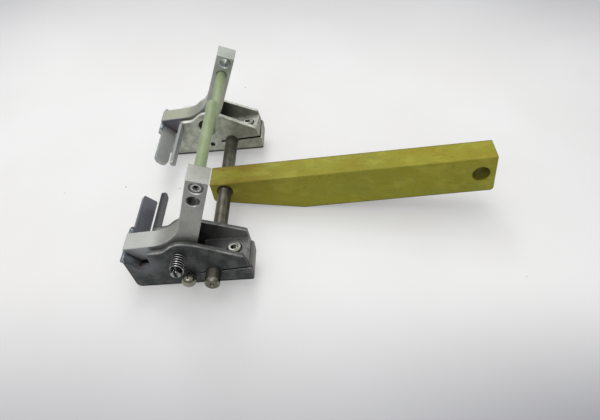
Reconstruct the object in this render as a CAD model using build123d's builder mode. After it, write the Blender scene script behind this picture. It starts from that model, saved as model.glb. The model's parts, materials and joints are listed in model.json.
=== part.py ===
"""Adjustable holding fixture: two sprung clamps on a cross shaft with a flat handle.

Frame, in millimetres: X runs along the handle, Y along the cross shaft, Z up.
The origin is on the bench under the middle of the whole fixture.
Each front piece is drawn on the -Y side; its rear twin is mirrored in the XZ plane.
"""
from build123d import *
from math import atan2, cos, degrees, radians, sin, sqrt
import os

os.makedirs("parts", exist_ok=True)

# ---------------------------------------------------------------- driving sizes
running = 0.05              # radial clearance of a turning or sliding fit
seat = 0.02                 # radial clearance of a fixed fit

# stance: the fixture rests on the handle's bend and on both clamps' left heels
shaft_x = -55.92            # puts the origin under the middle of the fixture
shaft_height = 12.76
handle_tilt = 8.4
clamp_tilt = 6.84

shaft_r = 3.97
shaft_stub = 8.3            # how far each end stands out of its clamp

# handle bar, measured from the shaft's axis along and across the bar
handle_length = 165.1
handle_height = 25.4
handle_thick = 15.9
handle_y = 4.1              # middle of the bar, a little behind the middle
handle_back = 8.0           # from the shaft's axis to the square end
handle_above = 5.85         # from the shaft's axis to the top edge
handle_end_height = 13.6
handle_bend = 45.1
bush_r = 4.8
hang_hole_r = 5.0
hang_hole_from_end = 8.35
hang_hole_drop = 11.6

# clamp body, measured from the shaft's axis along (u) and across (v) its flat base
clamp_inner = 44.4          # inner face, from the middle of the fixture
clamp_width = 18.9
wall = 2.4
base_v = -8.1
base_left = -42.2
tip_u = -43.9
heel_r = 3.0
cast_r = 0.6                # rounding along the walls' tops
floor_v = -5.1
tip_wall = 3.2              # thickness behind the tip and under the sloped finger
pocket_left = -34.6         # left end of the channel's floor
ramp_foot = -13.0           # where the floor starts to climb to the block
block_left = -5.0
block_v = 6.6               # top of the solid block round the shaft
lip_u = 19.8                # right end of the lower lip
upper_u = 18.6              # right end above the saw cut
upper_v = 2.3
saw_left = -7.0
saw_height = 0.9
front_saw_rise = 4.6        # degrees that the cut climbs to the right
rear_saw_rise = 2.9
hump_right_u = -4.0         # where the hump runs out into the straight wall top
hump_right_v = 20.0
hump_points = ((-8.5, 21.6), (-14.0, 22.1), (-18.0, 20.6), (-21.0, 18.3), (-25.0, 17.0))
front_inner_corner = (18.0, 11.2)
front_outer_corner = (16.9, 10.2)
rear_inner_corner = (16.8, 8.0)
rear_outer_corner = (17.5, 9.6)
notch_bottom = 7.7
notch_right = -30.6
wall_top_left = 16.7

# lower jaw fingers
slope_u = -43.2             # upper edge of the sloped finger's working face
slope_v = 15.0
slope_length = 10.3
slope_thick = 2.4
slope_step = 2.0            # the free part is narrower by this much
root_reach = 3.6            # the full width ends this far inside the clamp's inner face
upright_thick = 1.8
front_slope_reach = 27.8    # free length inside the clamp's inner face
rear_slope_reach = 29.0
front_upright_reach = 27.8
rear_upright_reach = 37.6
front_upright_height = 6.5
rear_upright_height = 5.1

# lever and its pivot
pivot_u = -14.6
pivot_v = 13.3
lever_thick = 10.9
lever_width = 10.35
lever_heel_r = 7.5
lever_top = 49.0            # from the pivot along the upright arm
lever_inner_r = 20.0
jaw_arm_u = -43.2
jaw_arm_v = 17.2
jaw_arm_slope = 3.2
jaw_arm_depth = 9.3
jaw_gap = 0.4
jaw_cut_left = 8.0          # the cut along the sloped finger starts this far before its edge
jaw_cut_right = 14.0        # and ends this far past it
front_lean = 20.5
rear_lean = 23.4
upper_hole = 45.0
lower_hole = 36.5
pin_r = 2.5
pin_head_r = 4.3
pin_head_thick = 1.5
pin_reach = 11.2            # slotted end beyond the outer wall
slot_width = 1.0
slot_depth = 2.9
grub_r = 1.5                # grub screw that keys the lever to its pin
grub_length = 4.2
grub_socket = 1.4
spacer_r = 4.6
side_play = 0.2

# thumb rods and their screws
rod_r = 2.8
rod_length = 63.5
rod_end_r = 0.9
rod_screw_head_r = 3.2
rod_screw_head = 1.9
rod_recess = 2.3
rod_screw_room = 0.15       # radial room round the sunk head
head_chamfer = 0.3
rod_drill_r = 1.5
rod_drill = 8.0

# torsion spring and its anchor
wire_r = 0.45
bend_r = 0.52               # the wire is a little swollen where it bends into its legs
coil_r = 3.2
coil_pitch = 1.42
coil_turns = 5.81
leg_tail = 2.5
slot_leg = 2.2              # how far the outer leg passes the pin's axis
anchor_u = -13.0
anchor_v = -1.7
anchor_shank_r = 1.1
anchor_neck_r = 1.5
anchor_neck = 1.5
anchor_head_r = 3.9
anchor_head = 4.9
anchor_dome_r = 3.4

# clamp screw, M4
screw_u = 11.2
screw_r = 2.0
screw_head_r = 3.5
screw_head = 4.0
screw_proud = 1.0           # the head stands this far out of its well
screw_well_r = 4.0

# sizes that follow from the ones above
clamp_outer = clamp_inner + clamp_width
channel_inner = clamp_inner + wall
channel_outer = clamp_outer - wall
clamp_middle = (clamp_inner + clamp_outer) / 2
shaft_length = 2 * (clamp_outer + shaft_stub)
saw_run = 1.5 * (lip_u - saw_left)      # the cut runs out past the lip
past_top = 2 * wall_top_left            # the channel is cut upwards past the walls
lever_inner = clamp_middle - lever_thick / 2
lever_outer = clamp_middle + lever_thick / 2
bar_left = lever_heel_r - lever_width
bar_middle = lever_heel_r - lever_width / 2
rod_outer = lever_outer - rod_recess
half_root = sqrt(0.5)
slope_end_u = slope_u + slope_length * half_root
slope_end_v = slope_v - slope_length * half_root
under = slope_thick * half_root
coil_start = clamp_outer + 0.25 + wire_r
coil_height = coil_pitch * coil_turns
coil_end = coil_start + coil_height
pin_end = clamp_outer + pin_reach
screw_seat = block_v - screw_head + screw_proud


def tilted_plane(tilt, y, u=0.0, v=0.0):
    """Plane square to the shaft: local x along the tilted base, local y up, facing -Y."""
    along = Vector(cos(radians(tilt)), 0, sin(radians(tilt)))
    across = Vector(-sin(radians(tilt)), 0, cos(radians(tilt)))
    origin = Vector(shaft_x, y, shaft_height) + along * u + across * v
    return Plane(origin=origin, x_dir=along, z_dir=(0, -1, 0))


def clamp_plane(distance, u=0.0, v=0.0):
    """Plane in a clamp's own tilt, facing outwards, at a distance in front of the middle."""
    return tilted_plane(clamp_tilt, -distance, u, v)


def lever_plane(distance, lean, along=0.0, across=0.0):
    """Plane at the pivot with local y up the upright arm."""
    turn = clamp_tilt - lean
    base = clamp_plane(distance, pivot_u, pivot_v).origin
    side = Vector(cos(radians(turn)), 0, sin(radians(turn)))
    up = Vector(-sin(radians(turn)), 0, cos(radians(turn)))
    return Plane(origin=base + up * along + side * across, x_dir=side, z_dir=(0, -1, 0))


# ---------------------------------------------------------------- handle and shaft
def handle_plane(y):
    return tilted_plane(handle_tilt, y)


handle_front = handle_y - handle_thick / 2
handle_rear = handle_y + handle_thick / 2
handle_right = handle_length - handle_back
handle_below = handle_height - handle_above


def is_rim(edge):
    """True for the outline of the bar's side faces, but not for the bush's bore."""
    return edge.geom_type != GeomType.CIRCLE or abs(edge.radius - bush_r) > 0.1


set_screw_mouth = tilted_plane(handle_tilt, handle_y, -handle_back)
set_screw_plane = Plane(origin=set_screw_mouth.origin, x_dir=(0, 1, 0), z_dir=-set_screw_mouth.x_dir)

with BuildPart() as handle:
    with BuildSketch(handle_plane(handle_rear)) as bar:
        with BuildLine():
            Polyline(
                (-handle_back, handle_above),
                (handle_right, handle_above),
                (handle_right, -handle_below),
                (handle_bend, -handle_below),
                (-handle_back, handle_above - handle_end_height),
                close=True,
            )
        make_face()
        fillet(bar.vertices().sort_by_distance((handle_right, -handle_below))[0], 2.0)
        fillet(bar.vertices().sort_by_distance((-handle_back, -handle_end_height / 2))[0], 2.5)
        Circle(bush_r, mode=Mode.SUBTRACT)
        with Locations((handle_right - hang_hole_from_end, handle_above - hang_hole_drop)):
            Circle(hang_hole_r, mode=Mode.SUBTRACT)
    extrude(amount=handle_thick)
    # the long arrises and the hanging hole's rims are broken by a fine chamfer
    side_rims = handle.faces().sort_by(Axis.Y)[0].edges() + handle.faces().sort_by(Axis.Y)[-1].edges()
    chamfer(side_rims.filter_by(is_rim), 0.45)
    # the set screw's hole enters from the square end
    with BuildSketch(set_screw_plane):
        Circle(screw_r)
    extrude(amount=-(handle_back - 2.0), mode=Mode.SUBTRACT)
handle.part.label = "handle"

with BuildPart() as handle_bush:
    with BuildSketch(handle_plane(handle_rear - 0.3)):
        Circle(bush_r - seat)
        Circle(shaft_r + seat, mode=Mode.SUBTRACT)
    extrude(amount=handle_thick - 0.6)
    with BuildSketch(set_screw_plane):
        Circle(screw_r)
    extrude(amount=-(handle_back - 2.0), mode=Mode.SUBTRACT)
handle_bush.part.label = "handle_bush"

with BuildPart() as handle_set_screw:
    with BuildSketch(set_screw_plane.offset(-0.6)):
        Circle(screw_r - seat)
    extrude(amount=-(handle_back - shaft_r - 0.6 - seat))
    with BuildSketch(set_screw_plane.offset(-0.6)):
        RegularPolygon(2.0 / sqrt(3), 6)
    extrude(amount=-1.5, mode=Mode.SUBTRACT)
handle_set_screw.part.label = "handle_set_screw"

with BuildPart() as cross_shaft:
    with BuildSketch(handle_plane(shaft_length / 2)):
        Circle(shaft_r)
    extrude(amount=shaft_length)
    chamfer(cross_shaft.edges().filter_by(GeomType.CIRCLE), 0.7)
    # centre-drilled ends
    for end in (cross_shaft.faces().sort_by(Axis.Y)[0], cross_shaft.faces().sort_by(Axis.Y)[-1]):
        with BuildSketch(Plane(end)):
            Circle(1.3)
        extrude(amount=-1.6, taper=30, mode=Mode.SUBTRACT)
cross_shaft.part.label = "cross_shaft"


# ---------------------------------------------------------------- clamp body
def clamp_profile(right_corner):
    """Outline of the clamp seen from the side; the wall top ends at the given right corner."""
    with BuildSketch() as profile:
        with BuildLine():
            outline = Polyline(
                (slope_u - under, slope_v - under),
                (tip_u, slope_v - 2 * under),
                (base_left, base_v),
                (lip_u - 0.8, base_v),
                (lip_u, base_v + 0.8),
                (lip_u, -0.2),
                (lip_u - 0.9, 0.7),
                (upper_u, 0.7),
                (upper_u, upper_v),
                right_corner,
                (hump_right_u, hump_right_v),
            )
            Spline(
                outline @ 1,
                *hump_points,
                tangents=((-5.8, 2.8), (-5.0, -0.3)),
            )
            Polyline(
                hump_points[-1],
                (notch_right, wall_top_left),
                (notch_right, notch_bottom),
                (slope_end_u, notch_bottom),
                (slope_end_u, slope_end_v),
                (slope_end_u - under, slope_end_v - under),
                (slope_u - under, slope_v - under),
            )
        make_face()
        fillet(profile.vertices().sort_by_distance((base_left, base_v))[0], heel_r)
        fillet(profile.vertices().sort_by_distance(right_corner)[0], 1.2)
    return profile.sketch


def is_upper_rim(edge):
    """True for the edges of a side face that bound the hump and the long slope to its right."""
    middle = edge.center()
    return middle.X > shaft_x + notch_right and middle.Z > shaft_height + upper_v + 1


def clamp_body(inner_corner, outer_corner, saw_rise, upright_height):
    """Cast U-channel with a V notch at the left, a lever hump and a split block at the right."""
    inner_half = clamp_profile(inner_corner)
    outer_half = clamp_profile(outer_corner)
    with BuildSketch(clamp_plane(channel_inner)) as channel:
        with BuildLine():
            Polyline(
                (base_left + tip_wall, past_top),
                (base_left + tip_wall, slope_v - 2 * under - 1.4 * tip_wall),
                (pocket_left, slope_end_v - under - 0.75 * tip_wall),
                (pocket_left, floor_v),
                (ramp_foot, floor_v),
                (block_left, block_v),
                (past_top, block_v),
                (past_top, past_top),
                close=True,
            )
        make_face()
    with BuildPart() as body:
        with BuildSketch(clamp_plane(clamp_inner)):
            add(inner_half)
        extrude(amount=clamp_width / 2)
        with BuildSketch(clamp_plane(clamp_middle)):
            add(outer_half)
        extrude(amount=clamp_width / 2)
        # the outline of each side is rounded as a casting's is
        for side_face in (body.faces().sort_by(Axis.Y)[0], body.faces().sort_by(Axis.Y)[-1]):
            fillet(side_face.edges().filter_by(is_upper_rim), cast_r)
        # channel between the two walls
        extrude(channel.sketch, amount=clamp_width - 2 * wall, mode=Mode.SUBTRACT)
        # shaft bore and the saw cut through it
        with BuildSketch(clamp_plane(clamp_inner)):
            Circle(shaft_r + running)
            with Locations(Location((saw_left, 0, 0), (0, 0, saw_rise))):
                Rectangle(saw_run, saw_height, align=(Align.MIN, Align.CENTER))
        extrude(amount=clamp_width, mode=Mode.SUBTRACT)
        # pivot holes: large in the inner wall for the pin's head, small in the outer wall
        with BuildSketch(clamp_plane(clamp_inner, pivot_u, pivot_v)):
            Circle(pin_head_r + running)
        extrude(amount=wall, mode=Mode.SUBTRACT)
        with BuildSketch(clamp_plane(channel_outer, pivot_u, pivot_v)):
            Circle(pin_r + running)
        extrude(amount=wall, mode=Mode.SUBTRACT)
        # anchor-pin hole, drilled through both walls
        with BuildSketch(clamp_plane(clamp_inner, anchor_u, anchor_v)):
            Circle(anchor_shank_r)
        extrude(amount=clamp_width, mode=Mode.SUBTRACT)
        # slot in the inner wall for the upright finger's root
        with BuildSketch(clamp_plane(clamp_inner)):
            with Locations((notch_right + upright_thick / 2, wall_top_left - upright_height / 2)):
                Rectangle(upright_thick, upright_height)
        extrude(amount=wall, mode=Mode.SUBTRACT)
        # pinch screw: well, clearance hole and the tapped hole in the lower lip
        with BuildSketch(pinch_plane(block_v)):
            Circle(screw_well_r)
        extrude(amount=-(block_v - screw_seat), mode=Mode.SUBTRACT)
        with BuildSketch(pinch_plane(block_v)):
            Circle(screw_r + seat)
        extrude(amount=-(block_v - base_v), mode=Mode.SUBTRACT)
    return body.part


def pinch_plane(v):
    """Plane across the clamp screw, facing up out of the channel."""
    side = clamp_plane(clamp_middle, screw_u, v)
    return Plane(origin=side.origin, x_dir=side.x_dir, z_dir=side.y_dir)


# ---------------------------------------------------------------- lower jaw fingers
def slope_plane():
    """Working face of the sloped finger: x down the slope, y along the shaft."""
    upper_edge = tilted_plane(clamp_tilt, 0, slope_u, slope_v)
    down_slope = upper_edge.x_dir - upper_edge.y_dir
    return Plane(origin=upper_edge.origin, x_dir=down_slope, z_dir=upper_edge.x_dir + upper_edge.y_dir)


def sloped_finger(reach, corner_r):
    """Strip along the notch's slope, wide in the clamp and narrower towards its free end."""
    free_end = reach - clamp_inner
    root_end = root_reach - clamp_inner
    outer_end = 0.2 - clamp_outer
    with BuildPart() as finger:
        with BuildSketch(slope_plane()) as strip:
            with BuildLine():
                Polyline(
                    (slope_step, free_end),
                    (slope_length, free_end),
                    (slope_length, outer_end),
                    (0, outer_end),
                    (0, root_end),
                    (slope_step, root_end),
                    close=True,
                )
            make_face()
            ends = strip.vertices().group_by(Axis.Y)[-1]
            fillet(ends, corner_r)
            fillet(strip.vertices().sort_by_distance((0, root_end))[0], 1.4)
        extrude(amount=-slope_thick)
        chamfer(finger.edges().filter_by(Axis.Y).sort_by(Axis.Z)[-1], 0.3)
    return finger.part


def upright_finger(reach, height, top_r, bottom_r):
    """Narrow strip set in the inner wall, with its free end rounded."""
    with BuildPart() as finger:
        with BuildSketch(clamp_plane(clamp_inner - reach)):
            with Locations((notch_right + upright_thick / 2, wall_top_left - height / 2)):
                Rectangle(upright_thick, height)
        extrude(amount=reach + wall)
        free_end = finger.faces().sort_by(Axis.Y)[-1]
        corners = free_end.edges().filter_by(lambda e: abs(e.length - upright_thick) < 0.01)
        bottom, top = corners.sort_by(Axis.Z)
        fillet(top, top_r)
        fillet(bottom, bottom_r)
    return finger.part


# ---------------------------------------------------------------- lever and pivot
def lever(lean, used_hole):
    """L-shaped lever: short jaw arm, upright arm, and a round heel on the pivot's axis."""
    arm_length = pivot_u - jaw_arm_u
    with BuildSketch(clamp_plane(lever_inner)) as shape:
        # jaw arm, hung from its top edge
        with Locations(Location((jaw_arm_u, jaw_arm_v, 0), (0, 0, jaw_arm_slope))):
            Rectangle(arm_length, jaw_arm_depth, align=(Align.MIN, Align.MAX))
        # upright arm, turned about the pivot
        with Locations(Location((pivot_u, pivot_v, 0), (0, 0, -lean))):
            with Locations((bar_middle, 0)):
                Rectangle(lever_width, lever_top, align=(Align.CENTER, Align.MIN))
        inner_u = pivot_u + bar_left * cos(radians(lean)) + 5 * sin(radians(lean))
        inner_v = jaw_arm_v + arm_length * sin(radians(jaw_arm_slope))
        fillet(shape.vertices().sort_by_distance((inner_u, inner_v))[0], lever_inner_r)
        # round heel, tangent to the upright's right edge
        with Locations((pivot_u, pivot_v)):
            Circle(lever_heel_r)
        # the jaw's lower corner is cut to lie along the sloped finger
        gap = jaw_gap / half_root
        with BuildLine():
            Polyline(
                (slope_u - jaw_cut_left, slope_v + jaw_cut_left + gap),
                (slope_u + jaw_cut_right, slope_v - jaw_cut_right + gap),
                (slope_u - jaw_cut_left, slope_v - jaw_cut_right + gap),
                close=True,
            )
        make_face(mode=Mode.SUBTRACT)
    with BuildPart() as arm:
        extrude(shape.sketch, amount=lever_thick)
        # pin bore and the two rod holes
        with BuildSketch(clamp_plane(lever_inner, pivot_u, pivot_v)):
            Circle(pin_r + seat)
        extrude(amount=lever_thick, mode=Mode.SUBTRACT)
        for height in (upper_hole, lower_hole):
            with BuildSketch(lever_plane(lever_inner, lean, height, bar_middle)):
                Circle(rod_r + seat)
            extrude(amount=lever_thick, mode=Mode.SUBTRACT)
        with BuildSketch(lever_plane(lever_outer, lean, used_hole, bar_middle)):
            Circle(rod_screw_head_r + rod_screw_room)
        extrude(amount=-rod_recess, mode=Mode.SUBTRACT)
        # broken rims of the rod holes
        rims = arm.edges().filter_by(GeomType.CIRCLE).filter_by(lambda e: rod_r < e.radius < 4.0)
        outside = rims.group_by(Axis.Y)[0] + rims.group_by(Axis.Y)[-1]
        chamfer(outside, 0.35)
        # grub screw hole into the pin from the right
        with BuildSketch(grub_plane(lever_heel_r + 1.0)):
            Circle(grub_r)
        extrude(amount=-(lever_heel_r + 1.0 - pin_r + 0.4), mode=Mode.SUBTRACT)
    return arm.part


def grub_plane(distance):
    """Plane across the lever's grub screw, square to the base, facing right."""
    side = clamp_plane(clamp_middle, pivot_u + distance, pivot_v)
    return Plane(origin=side.origin, x_dir=side.y_dir, z_dir=side.x_dir)


def lever_set_screw():
    with BuildPart() as grub:
        with BuildSketch(grub_plane(pin_r + seat)):
            Circle(grub_r - seat)
        extrude(amount=grub_length)
        with BuildSketch(grub_plane(pin_r + seat + grub_length)):
            RegularPolygon(grub_r / sqrt(3), 6)
        extrude(amount=-grub_socket, mode=Mode.SUBTRACT)
    return grub.part


def pivot_pin(lean):
    """Pin with a hexagon head inside the inner wall and a slotted outer end."""
    with BuildPart() as pin:
        with BuildSketch(lever_plane(channel_inner, lean)):
            RegularPolygon(pin_head_r, 6)
        extrude(amount=-pin_head_thick)
        with BuildSketch(lever_plane(channel_inner, lean)):
            Circle(pin_r)
        extrude(amount=pin_end - channel_inner)
        chamfer(pin.faces().sort_by(Axis.Y)[0].edges(), 0.4)
        with BuildSketch(clamp_plane(pin_end, pivot_u, pivot_v)):
            Rectangle(2 * pin_r + 1, slot_width, rotation=slot_turn)
        extrude(amount=-slot_depth, mode=Mode.SUBTRACT)
    return pin.part


def pivot_spacers():
    """Two washers that centre the lever between the walls."""
    with BuildPart() as spacers:
        for near, far in ((channel_inner + side_play, lever_inner), (lever_outer, channel_outer - side_play)):
            with BuildSketch(clamp_plane(near, pivot_u, pivot_v)):
                Circle(spacer_r)
                Circle(pin_r + seat, mode=Mode.SUBTRACT)
            extrude(amount=far - near)
    return spacers.part


# ---------------------------------------------------------------- thumb rod
def thumb_rod(lean, used_hole):
    """Glass-epoxy rod, pushed in from the inner face and drilled for its screw."""
    with BuildPart() as rod:
        with BuildSketch(lever_plane(rod_outer - rod_length, lean, used_hole, bar_middle)):
            Circle(rod_r)
        extrude(amount=rod_length)
        fillet(rod.edges().filter_by(GeomType.CIRCLE).sort_by(Axis.Y)[-1], rod_end_r)
        with BuildSketch(lever_plane(rod_outer, lean, used_hole, bar_middle)):
            Circle(rod_drill_r)
        extrude(amount=-rod_drill, mode=Mode.SUBTRACT)
    return rod.part


# ---------------------------------------------------------------- spring and anchor
# The inner leg leaves the coil on its left and passes the anchor's neck on its right, so that
# opening the lever winds the coil up. It is tangent to both: (leg_u, leg_v) is the direction
# from the pivot to the anchor, and (side_u, side_v) is the common normal.
anchor_gap = sqrt((anchor_u - pivot_u) ** 2 + (anchor_v - pivot_v) ** 2)
leg_u = (anchor_u - pivot_u) / anchor_gap
leg_v = (anchor_v - pivot_v) / anchor_gap
neck_reach = anchor_neck_r + wire_r + running
leg_sine = (coil_r + neck_reach) / anchor_gap
leg_cosine = sqrt(1 - leg_sine ** 2)
side_u = leg_v * leg_cosine + leg_u * leg_sine
side_v = -leg_u * leg_cosine + leg_v * leg_sine
slot_turn = degrees(atan2(side_v, side_u)) - 360 * coil_turns


def spring():
    """Torsion spring: coil round the pin, a leg on the anchor and a leg across the pin's slot.

    The coil's wire is drawn eight-sided, which keeps its long surface light.
    """
    pin_axis = clamp_plane(coil_start, pivot_u, pivot_v).origin
    coil_side = clamp_plane(coil_start, pivot_u + side_u, pivot_v + side_v).origin
    leg_end = clamp_plane(
        coil_start,
        anchor_u - side_u * neck_reach - side_v * leg_tail,
        anchor_v - side_v * neck_reach + side_u * leg_tail,
    ).origin
    coil_mouth = clamp_plane(coil_end, pivot_u, pivot_v)
    slot_leg_end = coil_mouth.from_local_coords((
        -slot_leg * cos(radians(slot_turn)),
        -slot_leg * sin(radians(slot_turn)),
        0,
    ))
    start_plane = Plane(origin=pin_axis, x_dir=coil_side - pin_axis, z_dir=(0, -1, 0))
    turns = start_plane * Helix(coil_pitch, coil_height, coil_r, lefthand=True)
    with BuildPart() as coil:
        with BuildLine() as path:
            add(turns)
        with BuildSketch(Plane(origin=path.line @ 0, z_dir=path.line % 0)):
            RegularPolygon(wire_r, 8)
        sweep(path=path.line, is_frenet=True)
        # straight legs with round ends
        for start, end in ((path.line @ 0, leg_end), (path.line @ 1, slot_leg_end)):
            with Locations(start):
                Sphere(bend_r)
            with BuildSketch(Plane(origin=start, z_dir=end - start)):
                Circle(wire_r)
            extrude(amount=(end - start).length)
    return coil.part


def anchor_pin():
    """Domed pin riveted in the outer wall, with a neck that holds the spring's leg."""
    with BuildPart() as pin:
        axis_plane = clamp_plane(clamp_outer, anchor_u, anchor_v)
        with BuildSketch(axis_plane):
            Circle(anchor_shank_r)
        extrude(amount=-wall)
        with BuildSketch(axis_plane):
            Circle(anchor_neck_r)
        extrude(amount=anchor_neck)
        with BuildSketch(axis_plane.offset(anchor_neck)):
            Circle(anchor_head_r)
        extrude(amount=anchor_head)
        fillet(pin.faces().sort_by(Axis.Y)[0].edges(), anchor_dome_r)
        under_head = pin.edges().filter_by(GeomType.CIRCLE)
        rim = under_head.filter_by(lambda e: abs(e.radius - anchor_head_r) < 0.01)
        chamfer(rim.sort_by(Axis.Y)[-1], 0.6)
    return pin.part


# ---------------------------------------------------------------- clamp screw
def clamp_screw():
    """M4 socket screw that pinches the saw cut together."""
    with BuildPart() as screw:
        with BuildSketch(pinch_plane(screw_seat)):
            Circle(screw_head_r)
        extrude(amount=screw_head)
        chamfer(screw.edges().sort_by(Axis.Z)[-1], head_chamfer)
        with BuildSketch(pinch_plane(screw_seat)):
            Circle(screw_r)
        extrude(amount=-(screw_seat - base_v - 0.8))
        with BuildSketch(pinch_plane(screw_seat + screw_head)):
            RegularPolygon(3.0 / sqrt(3), 6)
        extrude(amount=-2.2, mode=Mode.SUBTRACT)
    return screw.part


def rod_screw(lean, used_hole):
    """Socket screw in the rod's end, its head sunk in the lever's outer face."""
    with BuildPart() as screw:
        with BuildSketch(lever_plane(rod_outer + seat, lean, used_hole, bar_middle)):
            Circle(rod_screw_head_r)
        extrude(amount=rod_screw_head)
        chamfer(screw.edges().sort_by(Axis.Y)[0], head_chamfer)
        with BuildSketch(lever_plane(rod_outer + seat, lean, used_hole, bar_middle)):
            Circle(rod_drill_r - seat)
        extrude(amount=1.0 - rod_drill)
        with BuildSketch(lever_plane(rod_outer + seat + rod_screw_head, lean, used_hole, bar_middle)):
            RegularPolygon(3.0 / sqrt(3), 6)
        extrude(amount=-1.2, mode=Mode.SUBTRACT)
    return screw.part


def lever_pieces(lean, used_hole):
    """Pieces that swing about the pivot of the front clamp."""
    return {
        "lever": lever(lean, used_hole),
        "lever_set_screw": lever_set_screw(),
        "pivot_pin": pivot_pin(lean),
        "pivot_spacers": pivot_spacers(),
        "thumb_rod": thumb_rod(lean, used_hole),
        "rod_screw": rod_screw(lean, used_hole),
    }


def twin(piece):
    """The same piece behind the middle."""
    with BuildPart() as mirrored:
        mirror(piece, about=Plane.XZ)
    return mirrored.part


front = lever_pieces(front_lean, upper_hole)
front["clamp_body"] = clamp_body(
    front_inner_corner, front_outer_corner, front_saw_rise, front_upright_height
)
front["sloped_finger"] = sloped_finger(front_slope_reach, 0.9)
front["upright_finger"] = upright_finger(front_upright_reach, front_upright_height, 3.9, 1.2)

rear = lever_pieces(rear_lean, lower_hole)
rear["clamp_body"] = clamp_body(
    rear_inner_corner, rear_outer_corner, rear_saw_rise, rear_upright_height
)
rear["sloped_finger"] = sloped_finger(rear_slope_reach, 3.6)
rear["upright_finger"] = upright_finger(rear_upright_reach, rear_upright_height, 1.2, 3.8)

for clamp in (front, rear):
    clamp["clamp_screw"] = clamp_screw()
    clamp["spring"] = spring()
    clamp["anchor_pin"] = anchor_pin()

pieces = {}
for kind, piece in front.items():
    pieces["front_" + kind] = piece
for kind, piece in rear.items():
    pieces["rear_" + kind] = twin(piece)
for frame_piece in (handle, handle_bush, handle_set_screw, cross_shaft):
    pieces[frame_piece.part.label] = frame_piece.part

for name, piece in pieces.items():
    piece.label = name
    export_step(piece, f"parts/{name}.step")
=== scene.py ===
# %% [markdown]
# # A hand-held holding fixture and its finishes
# The fixture is two small sprung clamps on a steel cross shaft, with a flat handle between them.
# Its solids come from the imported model, in metres, and they stay where they are. This script gives
# every piece its finish, replaces the two springs by round wire, and adds the lumps of brazing,
# which are too irregular for the solids.

# %% Load the solids and keep their box
import json
import math

import bpy
from mathutils import Matrix, Vector


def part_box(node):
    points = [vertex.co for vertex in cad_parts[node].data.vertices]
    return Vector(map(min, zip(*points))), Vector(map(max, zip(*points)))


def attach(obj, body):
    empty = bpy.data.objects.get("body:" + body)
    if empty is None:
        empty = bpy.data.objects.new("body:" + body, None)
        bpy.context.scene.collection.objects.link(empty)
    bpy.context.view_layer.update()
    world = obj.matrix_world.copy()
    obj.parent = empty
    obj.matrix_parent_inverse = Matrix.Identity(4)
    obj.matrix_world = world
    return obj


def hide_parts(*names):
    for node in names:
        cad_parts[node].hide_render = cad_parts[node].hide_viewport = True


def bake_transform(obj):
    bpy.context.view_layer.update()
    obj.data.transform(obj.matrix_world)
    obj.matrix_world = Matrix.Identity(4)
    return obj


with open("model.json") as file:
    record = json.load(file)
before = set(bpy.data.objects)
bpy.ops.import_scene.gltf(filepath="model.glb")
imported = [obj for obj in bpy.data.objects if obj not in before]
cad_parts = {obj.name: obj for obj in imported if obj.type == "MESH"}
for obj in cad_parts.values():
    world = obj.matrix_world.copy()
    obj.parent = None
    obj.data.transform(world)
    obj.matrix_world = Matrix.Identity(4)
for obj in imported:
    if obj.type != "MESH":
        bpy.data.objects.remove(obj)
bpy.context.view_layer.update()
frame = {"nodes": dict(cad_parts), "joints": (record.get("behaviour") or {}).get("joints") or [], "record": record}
MM = 0.001
nodes = frame["nodes"]

# %% [markdown]
# ## Places on the fixture
# Most finishes change from place to place: a casting is darkest in its corners, and a lever is
# marked by heat near its jaw. Such places could be typed as coordinates, but here most of them are
# taken from the solids' boxes and hinges, so that a mark stays where it belongs on its piece. What
# no box tells, such as how far the clamps and the bar lean, is typed once and named.

# %% Places on the fixture
def middle_of(name):
    low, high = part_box(name)
    return (low + high) / 2


outward = {"front": -1.0, "rear": 1.0}  # along Y, away from the handle
clamp_tilt = math.radians(6.84)
bar_tilt = math.radians(8.4)
shaft_axis = middle_of("cross_shaft")
joints = {joint["name"]: joint for joint in frame["joints"]}
hinge = {side: Vector(joints[side + "_lever_hinge"]["pos_m"]) for side in outward}
rod = {side: middle_of(side + "_thumb_rod") for side in outward}
inner_face = {"front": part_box("front_clamp_body")[1].y, "rear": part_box("rear_clamp_body")[0].y}
print("shaft axis, mm:", [round(c / MM, 2) for c in shaft_axis])

# %% [markdown]
# ## The camera
# The camera looks down on the bench at about 45 degrees, as someone who stands at it would. A
# camera in Blender looks along its own -Z with +Y up, so the three columns of its turn are its
# right, its up and the reverse of the way it looks. It could be turned by three typed angles, but
# the columns can be worked out from two directions and are always square to each other.

# %% Camera
look = Vector((0.01522, 0.69817, -0.71577)).normalized()
right = Vector((0.99983, -0.00292, 0.01841))
right = (right - look * right.dot(look)).normalized()
above = right.cross(look)
stand = Matrix.Translation((-0.01629, -0.23056, 0.23017))
camera = bpy.data.objects.new("camera", bpy.data.cameras.new("camera"))
camera.matrix_world = stand @ Matrix((right, above, -look)).transposed().to_4x4()
camera.data.sensor_width = 36.0
camera.data.lens = 31.836
camera.data.clip_start = 0.01
bpy.context.scene.collection.objects.link(camera)
bpy.context.scene.camera = camera
bpy.context.scene.view_settings.view_transform = "Standard"
print("lens, mm:", round(camera.data.lens, 2))

# %% [markdown]
# ## Shader sums
# A finish is a sum of masks: some grain, plus some wear, times some dirt. In the node editor each
# sign is a Math node and two links, which soon becomes hard to read. Here one small class holds a
# node's output, and Python's own signs add the Math nodes. Colours go through Mix, because a
# Math node would turn them grey.

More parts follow.
